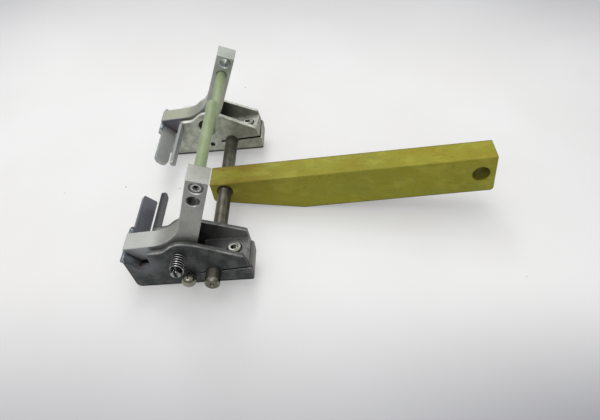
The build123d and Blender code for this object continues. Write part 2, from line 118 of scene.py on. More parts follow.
# %% One class for shader sums
class Signal:
    """One output of a node, which can be added, multiplied and fed to other nodes."""

    def __init__(self, tree, output=None):
        self.tree = tree
        self.output = output

    def node(self, kind, settings=None, inputs=None, output=0):
        """Adds a node. Its settings are set first, then its sockets get values or links."""
        made = self.tree.nodes.new(kind)
        for name, value in (settings or {}).items():
            setattr(made, name, value)
        for name, value in (inputs or {}).items():
            if isinstance(value, Signal):
                self.tree.links.new(value.output, made.inputs[name])
            else:
                made.inputs[name].default_value = value
        return Signal(self.tree, made.outputs[output])

    def maths(self, operation, first, second=0.0):
        return self.node("ShaderNodeMath", {"operation": operation}, {0: first, 1: second})

    def __add__(self, other):
        return self.maths("ADD", self, other)

    def __radd__(self, other):
        return self.maths("ADD", other, self)

    def __sub__(self, other):
        return self.maths("SUBTRACT", self, other)

    def __rsub__(self, other):
        return self.maths("SUBTRACT", other, self)

    def __mul__(self, other):
        return self.maths("MULTIPLY", self, other)

    def __rmul__(self, other):
        return self.maths("MULTIPLY", other, self)

    def size(self):
        """The number without its sign."""
        return self.maths("ABSOLUTE", self)

    def ramp(self, low, high):
        """0 below low, 1 above high, and a soft step between them."""
        return self.node(
            "ShaderNodeMapRange",
            {"interpolation_type": "SMOOTHSTEP"},
            {"Value": self, "From Min": low, "From Max": high},
        )


# %% [markdown]
# ## Words for finishes
# Every finish needs the same few words: where a point is, a cloudy pattern of a given size, a mask
# that is bright along the sharp edges, and a mix of two colours. They are written once, as
# functions, and each size is given in millimetres, as it would be read off a rule. The places are
# Object coordinates, which stay on a piece when it moves.

# %% Places and directions
def place(start):
    """A point on the piece, in metres."""
    return start.node("ShaderNodeTexCoord", output="Object")


def part_of(start, way, letter):
    """One part, X, Y or Z, of a place or a direction."""
    return start.node("ShaderNodeSeparateXYZ", inputs={"Vector": way}, output=letter)


def axis(start, letter):
    """One coordinate of a point on the piece, in metres."""
    return part_of(start, place(start), letter)


def facing(start, letter):
    """One part of the direction that the surface faces, from -1 to 1."""
    return part_of(start, start.node("ShaderNodeNewGeometry", output="Normal"), letter)


# %% Distances
def near(start, spot, inner_mm, outer_mm):
    """1 within inner_mm of a spot, fading to 0 at outer_mm."""
    away = start.node(
        "ShaderNodeVectorMath",
        {"operation": "DISTANCE"},
        {0: place(start), 1: tuple(spot)},
        output="Value",
    )
    return 1.0 - away.ramp(inner_mm * MM, outer_mm * MM)


def from_line(start, middle):
    """How far a point is from a hole's middle line, which runs along Y."""
    aside = axis(start, "X") - middle.x
    up = axis(start, "Z") - middle.z
    return start.maths("SQRT", aside * aside + up * up)


def along_slope(start, origin, tilt):
    """How far a point lies along a line that rises from origin, and how far above that line."""
    ahead = axis(start, "X") - origin.x
    above = axis(start, "Z") - origin.z
    sine, cosine = math.sin(tilt), math.cos(tilt)
    return ahead * cosine + above * sine, above * cosine - ahead * sine


# %% Clouds and specks
def clouds(start, size_mm, detail=3.0, stretch=(1.0, 1.0, 1.0), turn=(0.0, 0.0, 0.0)):
    """Soft noise of about that size; a stretch below 1 draws it out along that axis."""
    moved = start.node(
        "ShaderNodeMapping",
        {"vector_type": "POINT"},
        {"Vector": place(start), "Scale": stretch, "Rotation": turn},
    )
    return start.node(
        "ShaderNodeTexNoise",
        inputs={"Vector": moved, "Scale": 1.0 / (size_mm * MM), "Detail": detail},
    )


def cells(start, size_mm):
    """Distance to the nearest of many scattered points, for pits and specks."""
    return start.node(
        "ShaderNodeTexVoronoi", inputs={"Vector": place(start), "Scale": 1.0 / (size_mm * MM)}
    )


# %% Colours
def colour(red, green, blue):
    """A colour as it is read from a screen, 0 to 255, turned into Blender's linear values."""
    return tuple(
        c / 255 / 12.92 if c / 255 < 0.04045 else ((c / 255 + 0.055) / 1.055) ** 2.4
        for c in (red, green, blue)
    ) + (1.0,)


def blend_colours(start, amount, first, second):
    """The first colour where amount is 0 and the second where it is 1."""
    return start.node(
        "ShaderNodeMix",
        {"data_type": "RGBA"},
        {"Factor": amount, 6: first, 7: second},
        output=2,
    )


def layered(start, base, *layers):
    """Lays colours over the base, one after the other; each layer is a mask and its colour."""
    for mask, over in layers:
        base = blend_colours(start, mask, base, over)
    return base


# %% Rounded edges, edges for wear and painted highlights, and sheltered corners for painted shade
def edges(start, radius_mm):
    """Two signals: a normal that rounds the sharp edges, and a mask of where they are."""
    rounded = start.node("ShaderNodeBevel", {"samples": 6}, {"Radius": radius_mm * MM})
    flat = start.node("ShaderNodeNewGeometry", output="True Normal")
    alike = start.node(
        "ShaderNodeVectorMath", {"operation": "DOT_PRODUCT"}, {0: rounded, 1: flat}, output="Value"
    )
    return rounded, (1.0 - alike).ramp(0.01, 0.22)


def upturned(start, rounded):
    """1 on edges that turn up towards the lamp more than the face beside them does."""
    flat = start.node("ShaderNodeNewGeometry", output="True Normal")
    return (part_of(start, rounded, "Z") - part_of(start, flat, "Z")).ramp(0.03, 0.26)


def sheltered(start, reach_mm, own_piece=True, low=0.32, high=0.85):
    """1 deep in a slot, a hole or a narrow joint, and 0 in the open."""
    open_air = start.node(
        "ShaderNodeAmbientOcclusion",
        {"only_local": own_piece, "samples": 8},
        {"Distance": reach_mm * MM},
        output="AO",
    )
    return (1.0 - open_air).ramp(low, high)


# %% A finish from its parts
def bump(start, height, strength, depth_mm, normal=None):
    """A Bump node, over the rounded normal where there is one."""
    inputs = {"Height": height, "Strength": strength, "Distance": depth_mm * MM}
    if normal is not None:
        inputs["Normal"] = normal
    return start.node("ShaderNodeBump", inputs=inputs)


def finish(name, build):
    """A new material: build(start) returns the sockets of its Principled shader."""
    material = bpy.data.materials.new(name)
    material.use_nodes = True
    tree = material.node_tree
    shader = tree.nodes["Principled BSDF"]
    start = Signal(tree)
    for socket, value in build(start).items():
        if isinstance(value, Signal):
            tree.links.new(value.output, shader.inputs[socket])
        else:
            shader.inputs[socket].default_value = value
    print("finish", name, "nodes:", len(tree.nodes))
    return material


finish_of = {}  # by the solid's name

# %% [markdown]
# ## The handle's coating
# The handle is a bar of aluminium with an olive-yellow conversion coating. Such a coating is a
# thin salt layer that takes its colour from the bath, so it is never even: it has browner clouds
# where the bar was handled, greener ones where it drained, and it rubs through to pale metal on
# the arrises. A painted image could show that, but clouds of several sizes and the edge mask do it
# without one and never repeat. A thin dark line of painted shade runs along the lower edges and
# along the back edge of the top, and the inside of the hanging hole is painted dark with shade,
# less on its lower side.

# %% Lines of painted shade along the bar's edges
handle_low, handle_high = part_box("handle")
bar_bend = Vector((45.1, -19.55)) * MM  # the corner it rests on, from the shaft's axis
bar_taper = math.radians(12.53)


def shade_lines(start, top):
    """Two masks of painted shade: one along both lower edges and one along the back edge of the top."""
    along, across = along_slope(start, shaft_axis, bar_tilt)
    over_bottom = across - bar_bend.y
    over_taper = over_bottom * math.cos(bar_taper) + (along - bar_bend.x) * math.sin(bar_taper)
    lower = 1.0 - start.maths("MINIMUM", over_bottom, over_taper).ramp(0.65 * MM, 1.0 * MM)
    back = axis(start, "Y").ramp(handle_high.y - 1.15 * MM, handle_high.y - 0.8 * MM) * top
    return lower, back


# %% Handle finish
hang_hole = frame["record"]["mounts"][0]
hang_hole_middle = Vector(hang_hole["pos_m"])
hang_hole_r = hang_hole["dims"]["r_mm"] * MM
held_length = 62.0 * MM


def coated(start):
    rounded, rim = edges(start, 0.5)
    broad = clouds(start, 38.0, 4.0, (1.0, 1.0, 1.6))
    blotch = clouds(start, 11.0, 6.0, (0.6, 1.0, 1.0))
    patches = clouds(start, 6.0, 5.0, (0.5, 1.0, 1.0))
    specks = clouds(start, 1.6, 6.0)
    grain = clouds(start, 0.7, 2.0)
    drawn = clouds(start, 1.2, 4.0, (0.04, 1.0, 1.0), (0.0, bar_tilt, 0.0))
    top = facing(start, "Z").ramp(0.5, 0.9)
    held_end = 1.0 - axis(start, "X").ramp(handle_low.x, handle_low.x + held_length)
    held = held_end * blotch.ramp(0.3, 0.55) * (0.45 + 0.3 * top)
    in_hole = 1.0 - from_line(start, hang_hole_middle).ramp(hang_hole_r * 0.99, hang_hole_r * 1.012)
    hole_floor = 1.0 - (axis(start, "Z") - hang_hole_middle.z).ramp(-4.5 * MM, 1.0 * MM)
    hole_shade = 1.0 - 0.55 * hole_floor * specks.ramp(0.35, 0.6)
    lower_line, back_line = shade_lines(start, top)
    base = layered(
        start,
        blend_colours(start, broad.ramp(0.35, 0.65), colour(150, 145, 33), colour(140, 139, 32)),
        (blotch.ramp(0.5, 0.68) * (0.3 * top + 0.08), colour(150, 122, 36)),
        (held, colour(124, 100, 22)),
        ((1.0 - blotch.ramp(0.34, 0.46)) * 0.4, colour(128, 134, 26)),
        (drawn.ramp(0.5, 0.8) * 0.3, colour(108, 104, 26)),
        (specks.ramp(0.56, 0.7) * 0.4, colour(104, 92, 30)),
        (patches.ramp(0.52, 0.66) * 0.3, colour(176, 172, 64)),
        # Painted shade inside the hanging hole, less on its lower side.
        (in_hole * hole_shade * 0.85, colour(62, 48, 28)),
        (rim * blotch.ramp(0.4, 0.62) * 0.5, colour(196, 188, 110)),
        # Painted shade along the lower edges and the back edge of the top.
        (lower_line * 0.9, colour(44, 42, 16)),
        (back_line * 0.6, colour(88, 82, 30)),
    )
    return {
        "Base Color": base,
        "Roughness": 0.44 + 0.2 * blotch.ramp(0.3, 0.7) + 0.06 * drawn,
        "Specular IOR Level": 0.3,
        "Normal": bump(start, grain * 0.6 + drawn * 0.4, 0.12, 0.05, rounded),
    }


finish_of["handle"] = finish("handle_coating", coated)

# %% [markdown]
# ## The cast clamp bodies
# The clamps are small castings. Their skin is a matt, faintly pebbled grey, and their edges were
# dressed on a belt. Painted shade makes the corners and joints nearly black, draws a dark line
# along the foot and fills the anchor hole's mouth. Painted highlights along the rims and a paler
# top stand partly for rubbed metal and partly for the lamps' light. The two castings are not the
# same batch: the front one is charcoal and the rear one is a pale grey. One function makes both,
# with the greys as its arguments, so they keep the same grain.
# Each clamp was also sawn, so that its screw can pinch the shaft, and the fingers were brazed into
# its notch. The cut is painted black as shade, and the notch has grey flux and brown scale round
# it. These marks are masks drawn by their distance from a place, because noise alone would
# scatter them.

# %% The saw cut and the scale of the brazing
up_the_clamp = Vector((math.cos(clamp_tilt), 0.0, math.sin(clamp_tilt)))
saw_before_shaft = 7.0 * MM
saw_start = shaft_axis - saw_before_shaft * up_the_clamp
saw_slant = {"front": clamp_tilt + math.radians(4.6), "rear": clamp_tilt + math.radians(2.9)}
saw_half_width = {"front": 0.5 * MM, "rear": 0.64 * MM}
notch_mouth = {
    "front": Vector((-92.5, -60.5, 15.2)) * MM,
    "rear": Vector((-93.0, 46.2, 16.6)) * MM,
}
scale_brown = colour(70, 50, 42)


def saw_line(start, side):
    """Painted shade: the saw cut through the block, painted black."""
    along, across = along_slope(start, saw_start, saw_slant[side])
    half_width = saw_half_width[side]
    in_cut = 1.0 - across.size().ramp(half_width, half_width + 0.12 * MM)
    return in_cut * along.ramp(-0.15 * MM, 0.0)


def scorch(start, side):
    """Brown scale in the mouth of the notch, where the flux burnt on."""
    if side == "front":
        return 0.9 * near(start, notch_mouth[side], 1.4, 4.2)
    seam = sheltered(start, 1.6, False, 0.3, 0.6)
    return 0.85 * seam * near(start, notch_mouth[side], 1.6, 4.6)


# %% The inside of a channel
def channel_layers(start, side, inside, wall_top):
    """Painted light in the channels: the front one is painted lighter towards its open end, and the rear one is
    painted dark, for the lever's shadow and dark residue, then a browner grey further along.
    """
    from_hinge = axis(start, "X") - hinge[side].x
    if side == "front":
        return [(inside * from_hinge.ramp(13.0 * MM, 26.0 * MM) * 0.65, colour(150, 150, 145))]
    dark_end = 1.0 - from_hinge.ramp(10.0 * MM, 24.0 * MM)
    toned_far_end = from_hinge.ramp(10.0 * MM, 22.0 * MM) * (1.0 - wall_top)
    return [
        (inside * (0.25 + 0.75 * dark_end), colour(70, 74, 70)),
        (toned_far_end * 0.45, colour(112, 110, 94)),
    ]


# %% The painted highlight on a casting's rims
def ridge_highlight(start, side, rub_and_sheen):
    """A painted highlight along the upper front rims, where they turn up towards the lamps."""
    broad = start.node("ShaderNodeBevel", {"samples": 6}, {"Radius": 1.3 * MM})
    forwards = -1.0 * part_of(start, broad, "Y")
    ridge = part_of(start, broad, "Z").ramp(0.2, 0.6) * forwards.ramp(0.06, 0.3)
    from_hinge = axis(start, "X") - hinge[side].x
    past_hump = from_hinge.ramp(8.0 * MM, 16.0 * MM)
    at_screw = from_hinge.ramp(20.0 * MM, 28.0 * MM)
    stretches = 0.4 + 0.6 * clouds(start, 9.0, 3.0).ramp(0.36, 0.6)
    stretches = stretches * (1.0 - 0.3 * past_hump + 0.3 * at_screw)
    return ridge * stretches * (0.45 + 0.55 * rub_and_sheen.ramp(0.3, 0.62))


# %% Cast finish
base_to_shaft = 8.1 * MM
wall_height = 16.5 * MM


def cast(side, dark, pale, bright, stain, worn_and_lit_top, inside_from, foot_mm, flux):
    strip_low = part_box(side + "_upright_finger")[0]
    body_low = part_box(side + "_clamp_body")[0]
    notch = Vector((strip_low.x - 3.0 * MM, body_low.y, strip_low.z - 1.0 * MM))
    anchor_hole = middle_of(side + "_anchor_pin")
    anchor_hole.y = inner_face[side]

    def build(start):
        rounded, rim = edges(start, 0.6)
        mottle = clouds(start, 5.0, 6.0)
        pebble = clouds(start, 0.8, 4.0)
        pits = cells(start, 1.6)
        rub_and_sheen = clouds(start, 2.4, 5.0)
        deep = sheltered(start, 2.0, True, 0.3, 0.62)
        joint = sheltered(start, 0.9, False)
        top = facing(start, "Z").ramp(0.45, 0.9)
        over_base = along_slope(start, shaft_axis, clamp_tilt)[1] + base_to_shaft
        foot = 1.0 - over_base.ramp(foot_mm * MM, (foot_mm + 0.6) * MM)
        wall_top = top * over_base.ramp(wall_height - 0.5 * MM, wall_height + 0.5 * MM)
        inside = axis(start, "Y").ramp(inside_from, inside_from + 0.3 * MM) * (1.0 - wall_top)
        at_notch = near(start, notch, 4.0, 11.0)
        open_rim = rim * (1.0 - deep) * (1.0 - at_notch)
        right_end = (axis(start, "X") - hinge[side].x).ramp(26.0 * MM, 30.0 * MM)
        base = layered(
            start,
            blend_colours(start, mottle.ramp(0.34, 0.68), dark, pale),
            (pebble.ramp(0.5, 0.7) * 0.4, pale),
            ((1.0 - pits.ramp(0.08, 0.26)) * 0.5, dark),
            (mottle.ramp(0.58, 0.72) * 0.35, stain),
            *channel_layers(start, side, inside, wall_top),
            # Painted light, partly wear: paler up-facing skin, paler wall tops and painted highlights on the rims.
            (top * rub_and_sheen.ramp(0.35, 0.6) * 0.5, pale),
            (wall_top * (0.3 + 0.5 * rub_and_sheen.ramp(0.35, 0.65)), worn_and_lit_top),
            (open_rim * rub_and_sheen.ramp(0.3, 0.62) * (0.25 + 0.5 * right_end), bright),
            (ridge_highlight(start, side, rub_and_sheen) * (1.0 - at_notch), bright),
            # Painted shade: deep corners, narrow joints, the foot line, the anchor hole's mouth and the saw cut.
            (deep * 0.92, colour(22, 21, 20)),
            (joint * 0.8, colour(24, 23, 22)),
            (foot * 0.9, colour(22, 23, 24)),
            (near(start, anchor_hole, 1.45, 1.65), colour(8, 8, 8)),
            (saw_line(start, side), colour(14, 14, 14)),
            (at_notch * flux, colour(110, 113, 117)),
            (scorch(start, side), scale_brown),
        )
        return {
            "Base Color": base,
            "Metallic": 0.55,
            "Roughness": 0.56 - 0.16 * rim + 0.12 * mottle,
            "Normal": bump(start, pebble * 0.7 + pits * 0.3, 0.4, 0.09, rounded),
        }

    return build


# %% The two castings
castings = {
    "front": {
        "dark": colour(60, 62, 63),
        "pale": colour(92, 94, 93),
        "bright": colour(204, 205, 200),
        "stain": colour(84, 80, 70),
        "worn_and_lit_top": colour(106, 108, 105),
        "inside_from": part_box("front_clamp_body")[0].y + 2.8 * MM,
        "foot_mm": 0.6,
        "flux": 0.9,
    },
    "rear": {
        "dark": colour(164, 167, 154),
        "pale": colour(206, 209, 196),
        "bright": colour(252, 252, 248),
        "stain": colour(184, 178, 154),
        "worn_and_lit_top": colour(232, 233, 226),
        "inside_from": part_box("rear_clamp_body")[1].y - 3.4 * MM,
        "foot_mm": 0.9,
        "flux": 0.4,
    },
}
for side, greys in castings.items():
    finish_of[side + "_clamp_body"] = finish(side + "_casting", cast(side, **greys))

# %% [markdown]
# ## The jaw fingers
# The fingers are strips of steel, brazed into the clamps. The heat left the front pair a dark
# bluish slate with a violet cast, and the rear pair a lighter blue-grey. A colour ramp along the
# strip could draw the tint, but it would show as bands. A heat tint is an oxide film that changes
# slowly and unevenly, so a large cloud is used here, with fine grinding lines along it. The narrow
# edge that faces up and to the left was filed after brazing, so it stays paler. The side that faces
# left is painted darker as shade, the side that faces straight up is darker, and the joints with
# other pieces are painted dark with shade.

# %% Finger finish
def heat_tinted(side, cool, warm, bright, inside, edge, dark_side, crown, crown_share):
    inner_wall = outward[side] * inner_face[side]

    def build(start):
        rounded, rim = edges(start, 0.4)
        tint = clouds(start, 11.0, 2.0, (1.0, 0.5, 1.0))
        ground = clouds(start, 0.5, 3.0, (1.0, 0.05, 1.0))
        scuff = clouds(start, 3.0, 5.0)
        filed = (facing(start, "Z") - facing(start, "X")).ramp(0.95, 1.3)
        left_side = (-1.0 * facing(start, "X")).ramp(0.75, 0.97)
        on_top = facing(start, "Z").ramp(0.93, 0.985)
        past_wall = outward[side] * axis(start, "Y") - inner_wall
        brazed_in = past_wall.ramp(-4.0 * MM, 3.0 * MM)
        base = layered(
            start,
            blend_colours(start, tint.ramp(0.35, 0.65), cool, warm),
            (brazed_in * (0.55 + 0.4 * scuff), inside),
            (ground.ramp(0.5, 0.8) * 0.3, bright),
            (scuff.ramp(0.6, 0.72) * 0.3, bright),
            (filed * 0.5, edge),
            # Painted shade on the side that faces left.
            (left_side * 0.7, dark_side),
            (on_top * crown_share, crown),
            (rim * (1.0 - brazed_in) * scuff.ramp(0.3, 0.6) * 0.5, bright),
            # Painted shade in the joints with other pieces.
            (sheltered(start, 0.9, False) * 0.75, colour(26, 26, 27)),
            (scorch(start, side), scale_brown),
        )
        return {
            "Base Color": base,
            "Metallic": 0.6,
            "Roughness": 0.44 + 0.16 * scuff - 0.1 * rim,
            "Normal": bump(start, ground, 0.25, 0.03, rounded),
        }

    return build


# %% The two pairs of fingers
tints = {
    "front": {
        "cool": colour(104, 107, 115),
        "warm": colour(112, 111, 117),
        "bright": colour(150, 152, 157),
        "inside": colour(92, 97, 102),
        "edge": colour(118, 126, 134),
        "dark_side": colour(70, 71, 76),
        "crown": colour(50, 51, 56),
        "crown_share": 0.95,
    },
    "rear": {
        "cool": colour(168, 174, 174),
        "warm": colour(178, 178, 172),
        "bright": colour(218, 222, 224),
        "inside": colour(150, 152, 156),
        "edge": colour(152, 172, 178),
        "dark_side": colour(118, 120, 120),
        "crown": colour(118, 120, 120),
        "crown_share": 0.5,
    },
}
for side, tint in tints.items():
    finger_tint = finish(side + "_finger_tint", heat_tinted(side, **tint))
    for strip in ("_sloped_finger", "_upright_finger"):
        finish_of[side + strip] = finger_tint

# %% [markdown]
# ## The levers
# The levers are sawn from aluminium plate and tumbled, which leaves a satin grey with fine
# scratches in all directions and softly broken edges. Two thin, stretched clouds laid across each
# other look like tumbling marks, because a single direction would look like brushing. The edges get
# a painted highlight, strongest where they turn up to the lamps and, on the rear lever, along the
# right edges, and the corners get painted shade. Each lever has two rod holes, and the spare one
# shows the rings that its drill left and is painted dark inside as shade. Both holes have a broken
# rim: its lower half gets a painted highlight and its upper half painted shade. The jaw's end was in
# the flame when the fingers were brazed, so it is tinted too, though the painted highlight on its
# lit rim is kept.

# %% Where the spare rod hole is
arm_way = {}
spare_hole = {}
for side, along_arm in (("front", -8.5 * MM), ("rear", 8.5 * MM)):
    arm_way[side] = rod[side] - hinge[side]
    arm_way[side].y = 0.0
    arm_way[side].normalize()
    spare_hole[side] = rod[side] + arm_way[side] * along_arm
    print(side, "spare hole, mm:", [round(c / MM, 1) for c in spare_hole[side]])


# %% The broken rim of a hole
spare_rim_mm = 2.75
rim_width_mm = 0.45


def broken_rim(start, middle, inner_mm, arm):
    """Two signals for a ring round a hole: its lower half, and its upper half."""
    outer_mm = inner_mm + rim_width_mm
    aside = axis(start, "X") - middle.x
    up = axis(start, "Z") - middle.z
    away = start.maths("SQRT", aside * aside + up * up)
    ring = away.ramp((inner_mm - 0.1) * MM, inner_mm * MM)
    ring = ring * (1.0 - away.ramp(outer_mm * MM, (outer_mm + 0.15) * MM))
    up_the_arm = (aside * arm.x + up * arm.z) * (1.0 / (outer_mm * MM))
    return ring * (1.0 - up_the_arm.ramp(-0.95, -0.45)), ring * up_the_arm.ramp(-0.2, 0.4)


def rim_layers(start, side, screw_rim_mm, screw_shade):
    """The rims of both holes: the spare one's, and the one round the rod's screw."""
    layers = []
    for middle, inner_mm, shade in (
        (spare_hole[side], spare_rim_mm, 0.85),
        (rod[side], screw_rim_mm, screw_shade),
    ):
        lower, upper = broken_rim(start, middle, inner_mm, arm_way[side])
        layers.append((upper * shade, colour(40, 42, 40)))
        layers.append((lower, colour(255, 255, 255)))
    return layers


# %% The heat tint at the jaw's end
def heat_layers(start, side, lit, share, hot_colour, jaw_colour):
    """The arm, then the end of its front side but for the lit rim, then a small reddish spot."""
    front_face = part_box(side + "_lever")[0].y
    reddened = Vector((hinge[side].x - 20.5 * MM, front_face, hinge[side].z - 4.73 * MM))
    from_hinge = axis(start, "X") - hinge[side].x
    jaw_arm = 1.0 - from_hinge.ramp(-14.0 * MM, 2.0 * MM)
    hot_end = 1.0 - from_hinge.ramp(-19.5 * MM, -7.5 * MM)
    front_side = 1.0 - axis(start, "Y").ramp(front_face + 0.1 * MM, front_face + 0.6 * MM)
    hot_face = hot_end * front_side * (1.0 - lit * share["lit_rim_kept"])
    return [
        (jaw_arm * 0.6, jaw_colour),
        (hot_face * 0.85, hot_colour),
        (near(start, reddened, 0.6, 3.0) * share["red"], colour(150, 112, 112)),
    ]


# %% Lever finish
drill_rings_apart = 0.8 * MM


def tumbled(side, dark, pale, mark_colour, hot_colour, jaw_colour, screw_rim_mm, share):
    """Tumbled aluminium; share says how strongly each kind of mark, painted highlight and painted shade shows,
    from 0 to 1.
    """

    def build(start):
        rounded, rim = edges(start, 0.45)
        haze = clouds(start, 14.0, 4.0)
        mark = clouds(start, 0.55, 4.0, (1.0, 1.0, 0.12), (0.0, math.radians(-14.0), 0.0))
        cross_mark = clouds(start, 0.6, 4.0, (0.15, 1.0, 1.0))
        dents = clouds(start, 1.4, 6.0)
        in_hole = 1.0 - from_line(start, spare_hole[side]).ramp(2.95 * MM, 3.1 * MM)
        rings = start.maths("SINE", axis(start, "Y") * (2 * math.pi / drill_rings_apart))
        lit = upturned(start, rounded)
        forwards = (-1.0 * facing(start, "Y")).ramp(0.5, 0.8)
        right_edge = part_of(start, rounded, "X").ramp(0.12, 0.4) * forwards
        base = layered(
            start,
            blend_colours(start, haze.ramp(0.35, 0.65), dark, pale),
            (mark.ramp(0.5, 0.75) * 0.4, mark_colour),
            (dents.ramp(0.6, 0.72) * 0.35, mark_colour),
            (in_hole * rings.ramp(-0.2, 0.8) * 0.5, colour(70, 72, 70)),
            # Painted shade in the corners, then painted highlights on the edges, the lit edges and the right
            # edges.
            (sheltered(start, 2.2) * 0.55, colour(60, 61, 60)),
            (rim * share["rim"], colour(220, 222, 218)),
            (lit * 0.8, colour(246, 246, 244)),
            (right_edge * share["right_edge"], colour(250, 252, 248)),
            *rim_layers(start, side, screw_rim_mm, share["screw_shade"]),
            # Painted shade inside the spare hole and in the narrow joints.
            (in_hole * share["hole"], colour(52, 56, 52)),
            (sheltered(start, 0.6, False) * 0.7, colour(30, 30, 29)),
            *heat_layers(start, side, lit, share, hot_colour, jaw_colour),
        )
        marks = mark * 0.5 + cross_mark * 0.35 + dents * 0.4 + in_hole * rings * 2.0
        return {
            "Base Color": base,
            "Metallic": 0.75,
            "Roughness": 0.48 + 0.14 * haze - 0.06 * mark - 0.15 * in_hole - 0.26 * rim,
            "Normal": bump(start, marks, 0.35, 0.05, rounded),
        }

    return build


# %% The two levers
satins = {
    "front": {
        "dark": colour(160, 161, 154),
        "pale": colour(182, 183, 176),
        "mark_colour": colour(132, 134, 128),
        "hot_colour": colour(158, 164, 166),
        "jaw_colour": colour(194, 196, 192),
        "screw_rim_mm": 3.3,
        "share": {
            "rim": 0.45,
            "right_edge": 0.0,
            "hole": 0.75,
            "screw_shade": 0.2,
            "lit_rim_kept": 0.9,
            "red": 0.3,
        },
    },
    "rear": {
        "dark": colour(186, 190, 184),
        "pale": colour(206, 209, 203),
        "mark_colour": colour(158, 162, 156),
        "hot_colour": colour(116, 116, 134),
        "jaw_colour": colour(160, 160, 134),
        "screw_rim_mm": 2.75,
        "share": {
            "rim": 0.8,
            "right_edge": 0.85,
            "hole": 0.11,
            "screw_shade": 0.85,
            "lit_rim_kept": 0.3,
            "red": 0.7,
        },
    },
}
for side, satin in satins.items():
    finish_of[side + "_lever"] = finish(side + "_lever_satin", tumbled(side, **satin))

# %% [markdown]
# ## Turned steel
# The pins and washers are turned, and the shaft is a drawn bar. Their axis is Y. Turning leaves
# rings round it, so the cloud of a turned piece is drawn out along X and Z, and drawing leaves
# lines along it, so the shaft's cloud is drawn out along Y. The shader's own anisotropic setting
# could give such a sheen, but it is lost when a material is baked, so the marks are fine bumps
# here. A round bar under a soft lamp is bright along its crest and dark below. The pale bench would
# fill that dark side with light, so some of these finishes paint shade on the round side
# themselves, and painted highlights on rims and crests and painted shade in hollows and joints
# are added too. Old oil gives the shaft its brown tone.

# %% Shaft finish
bare_from = -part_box("front_clamp_body")[0].y
shaft_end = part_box("cross_shaft")[1].y


def shaft_steel(start):
    """Drawn bar, browned by oil, with its two short ends rubbed smoother than the rest."""
    rounded, rim = edges(start, 0.3)
    lines = clouds(start, 0.5, 4.0, (1.0, 0.05, 1.0))
    oil_and_shade = clouds(start, 6.0, 4.0)
    from_middle = axis(start, "Y").size()
    out = from_middle.ramp(bare_from - 0.1 * MM, bare_from + 1.2 * MM)
    endwise = facing(start, "Y").size()
    round_side = 1.0 - endwise.ramp(0.3, 0.8)
    end_face = endwise.ramp(0.85, 0.97)
    up = facing(start, "Z")
    end_ring_highlight = 1.0 - (from_middle - (shaft_end - 1.4 * MM)).size().ramp(0.3 * MM, 0.45 * MM)
    base = layered(
        start,
        blend_colours(start, oil_and_shade.ramp(0.3, 0.7), colour(84, 82, 71), colour(112, 110, 98)),
        (lines.ramp(0.45, 0.7) * 0.45, colour(66, 64, 56)),
        (out * 0.6, colour(150, 148, 132)),
        # Painted shade under the bare ends' round side and a painted highlight along their crest; the end faces
        # are painted darker as shade; a painted highlight ring near each end and on the rims; painted shade in the
        # joints.
        (out * round_side * (1.0 - up.ramp(0.25, 0.8)), colour(26, 26, 22)),
        (out * round_side * up.ramp(0.8, 0.98) * 0.6, colour(208, 205, 186)),
        (end_face * 0.75, colour(96, 94, 82)),
        (round_side * end_ring_highlight * up.ramp(0.6, 0.9), colour(250, 248, 230)),
        (rim * 0.7, colour(200, 198, 186)),
        (sheltered(start, 1.0, False) * 0.75, colour(20, 20, 18)),
    )
    return {
        "Base Color": base,
        "Metallic": 0.82,
        "Roughness": 0.38 + 0.1 * oil_and_shade - 0.2 * out,
        "Normal": bump(start, lines, 0.15, 0.02, rounded),
    }


finish_of["cross_shaft"] = finish("shaft_bar", shaft_steel)

# %% Spring wire finish
last_turn_from = 71.1 * MM


def wire_with_painted_light(start):
    """A painted highlight on the crest of each turn and painted shade between the turns."""
    in_last_turn = axis(start, "Y").size().ramp(last_turn_from, last_turn_from + 0.7 * MM)
    in_last_turn = in_last_turn * facing(start, "X").size().ramp(0.15, 0.6)
    crest = 1.0 - facing(start, "Y").size().ramp(0.3, 0.75) * (1.0 - in_last_turn)
    scratches = clouds(start, 1.0, 3.0)
    base = layered(
        start,
        blend_colours(start, crest, colour(16, 16, 16), colour(210, 211, 209)),
        (scratches.ramp(0.5, 0.7) * 0.3, colour(120, 120, 118)),
    )
    return {"Base Color": base, "Metallic": 0.85, "Roughness": 0.16 + 0.1 * scratches}


spring_steel = finish("spring_steel", wire_with_painted_light)

# %% [markdown]
# ## The screw heads
# Only the ends of the screws show. A head is a set of rings: a socket painted black with shade,
# with a small painted glint, a bright flat ring, a dark ring of painted shade where the head meets
# its recess, and the outer edge. Rings could be modelled, but they are a few tenths of a
# millimetre wide, so masks by the distance from the screw's middle line are lighter and just as
# sharp. The rod screws look along Y and the clamp screws lean with their clamp, which is
# why the two directions across the head are arguments.

